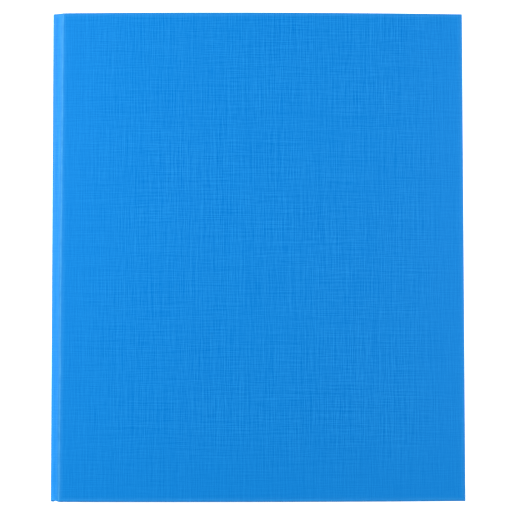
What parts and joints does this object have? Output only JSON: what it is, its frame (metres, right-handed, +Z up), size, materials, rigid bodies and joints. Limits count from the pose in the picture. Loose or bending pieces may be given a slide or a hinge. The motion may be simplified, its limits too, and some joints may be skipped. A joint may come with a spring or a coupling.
{
  "type": "ring-bound scrapbook album",
  "caption": "Blue linen-paper covered album with a folding board case, a ring mechanism that opens and pocket leaves that turn on the rings.",
  "frame": {"origin": "under the middle of the closed case, on the surface it lies on", "axes": "+Z up through the front cover, +Y to the head of the pages, +X to the fore edge; the spine is at -X"},
  "size_m": [0.27, 0.32, 0.0416],
  "materials": {
    "cover_paper": "linen-embossed, satin",
    "lining_paper": "matt",
    "greyboard": "raw",
    "nickel_steel": "nickel plated",
    "ring_wire": "polished",
    "rivet_steel": "satin",
    "punched_strip": "satin",
    "clear_film": "clear, glossy",
    "page_card": "smooth card"
  },
  "bodies": {
    "back_cover": {"back_board": "greyboard", "back_cover_paper": "cover_paper", "back_lining": "lining_paper", "ring_housing": "nickel_steel", "housing_rivets": "rivet_steel"},
    "spine": {"spine_board": "greyboard", "spine_paper": "cover_paper", "spine_lining": "lining_paper", "back_hinge_paper": "cover_paper", "back_hinge_lining": "lining_paper", "front_hinge_paper": "cover_paper", "front_hinge_lining": "lining_paper"},
    "front_cover": {"front_board": "greyboard", "front_cover_paper": "cover_paper", "front_lining": "lining_paper"},
    "left_rings": {"left_blade": "nickel_steel", "left_ring_1": "ring_wire", "left_ring_2": "ring_wire", "left_ring_3": "ring_wire", "left_ring_4": "ring_wire"},
    "right_rings": {"right_blade": "nickel_steel", "right_ring_1": "ring_wire", "right_ring_2": "ring_wire", "right_ring_3": "ring_wire", "right_ring_4": "ring_wire"},
    "leaf_1": {"leaf_1_strip": "punched_strip", "leaf_1_film": "clear_film", "leaf_1_card": "page_card"},
    "leaf_2": {"leaf_2_strip": "punched_strip", "leaf_2_film": "clear_film", "leaf_2_card": "page_card"},
    "leaf_3": {"leaf_3_strip": "punched_strip", "leaf_3_film": "clear_film", "leaf_3_card": "page_card"},
    "leaf_4": {"leaf_4_strip": "punched_strip", "leaf_4_film": "clear_film", "leaf_4_card": "page_card"},
    "leaf_5": {"leaf_5_strip": "punched_strip", "leaf_5_film": "clear_film", "leaf_5_card": "page_card"},
    "leaf_6": {"leaf_6_strip": "punched_strip", "leaf_6_film": "clear_film", "leaf_6_card": "page_card"},
    "leaf_7": {"leaf_7_strip": "punched_strip", "leaf_7_film": "clear_film", "leaf_7_card": "page_card"},
    "leaf_8": {"leaf_8_strip": "punched_strip", "leaf_8_film": "clear_film", "leaf_8_card": "page_card"}
  },
  "joints": [
    {"name": "spine_fold", "type": "hinge", "parent": "back_cover", "child": "spine", "pos_m": [-0.13395, 0, 0.00105], "axis": [0, -1, 0], "range_deg": [0, 90]},
    {"name": "cover_fold", "type": "hinge", "parent": "spine", "child": "front_cover", "pos_m": [-0.13395, 0, 0.03895], "axis": [0, -1, 0], "range_deg": [0, 87.5]},
    {"name": "right_rings_open", "type": "hinge", "parent": "back_cover", "child": "right_rings", "pos_m": [-0.0995, 0, 0.0038], "axis": [0, 1, 0], "range_deg": [0, 10]},
    {"name": "left_rings_open", "type": "hinge", "parent": "back_cover", "child": "left_rings", "pos_m": [-0.1185, 0, 0.0038], "axis": [0, 1, 0], "range_deg": [-10, 0]},
    {"name": "leaf_1_turn", "type": "hinge", "parent": "back_cover", "child": "leaf_1", "pos_m": [-0.109, 0, 0.0184], "axis": [0, -1, 0], "range_deg": [0, 182.5]},
    {"name": "leaf_2_turn", "type": "hinge", "parent": "back_cover", "child": "leaf_2", "pos_m": [-0.109, 0, 0.0184], "axis": [0, -1, 0], "range_deg": [0, 182.5]},
    {"name": "leaf_3_turn", "type": "hinge", "parent": "back_cover", "child": "leaf_3", "pos_m": [-0.109, 0, 0.0184], "axis": [0, -1, 0], "range_deg": [0, 182.5]},
    {"name": "leaf_4_turn", "type": "hinge", "parent": "back_cover", "child": "leaf_4", "pos_m": [-0.109, 0, 0.0184], "axis": [0, -1, 0], "range_deg": [0, 182.5]},
    {"name": "leaf_5_turn", "type": "hinge", "parent": "back_cover", "child": "leaf_5", "pos_m": [-0.109, 0, 0.0184], "axis": [0, -1, 0], "range_deg": [0, 182.5]},
    {"name": "leaf_6_turn", "type": "hinge", "parent": "back_cover", "child": "leaf_6", "pos_m": [-0.109, 0, 0.0184], "axis": [0, -1, 0], "range_deg": [0, 182.5]},
    {"name": "leaf_7_turn", "type": "hinge", "parent": "back_cover", "child": "leaf_7", "pos_m": [-0.109, 0, 0.0184], "axis": [0, -1, 0], "range_deg": [0, 182.5]},
    {"name": "leaf_8_turn", "type": "hinge", "parent": "back_cover", "child": "leaf_8", "pos_m": [-0.109, 0, 0.0184], "axis": [0, -1, 0], "range_deg": [0, 182.5]}
  ],
  "couplings": [
    {"joint": "cover_fold", "follows": "spine_fold", "ratio": 0.9722},
    {"joint": "left_rings_open", "follows": "right_rings_open", "ratio": -1},
    {"joint": "leaf_1_turn", "follows": "spine_fold", "ratio": 2.0277},
    {"joint": "leaf_2_turn", "follows": "spine_fold", "ratio": 2.0277},
    {"joint": "leaf_3_turn", "follows": "spine_fold", "ratio": 2.0277},
    {"joint": "leaf_4_turn", "follows": "spine_fold", "ratio": 2.0277},
    {"joint": "leaf_5_turn", "follows": "spine_fold", "ratio": 2.0277},
    {"joint": "leaf_6_turn", "follows": "spine_fold", "ratio": 2.0277},
    {"joint": "leaf_7_turn", "follows": "spine_fold", "ratio": 2.0277},
    {"joint": "leaf_8_turn", "follows": "spine_fold", "ratio": 2.0277}
  ]
}
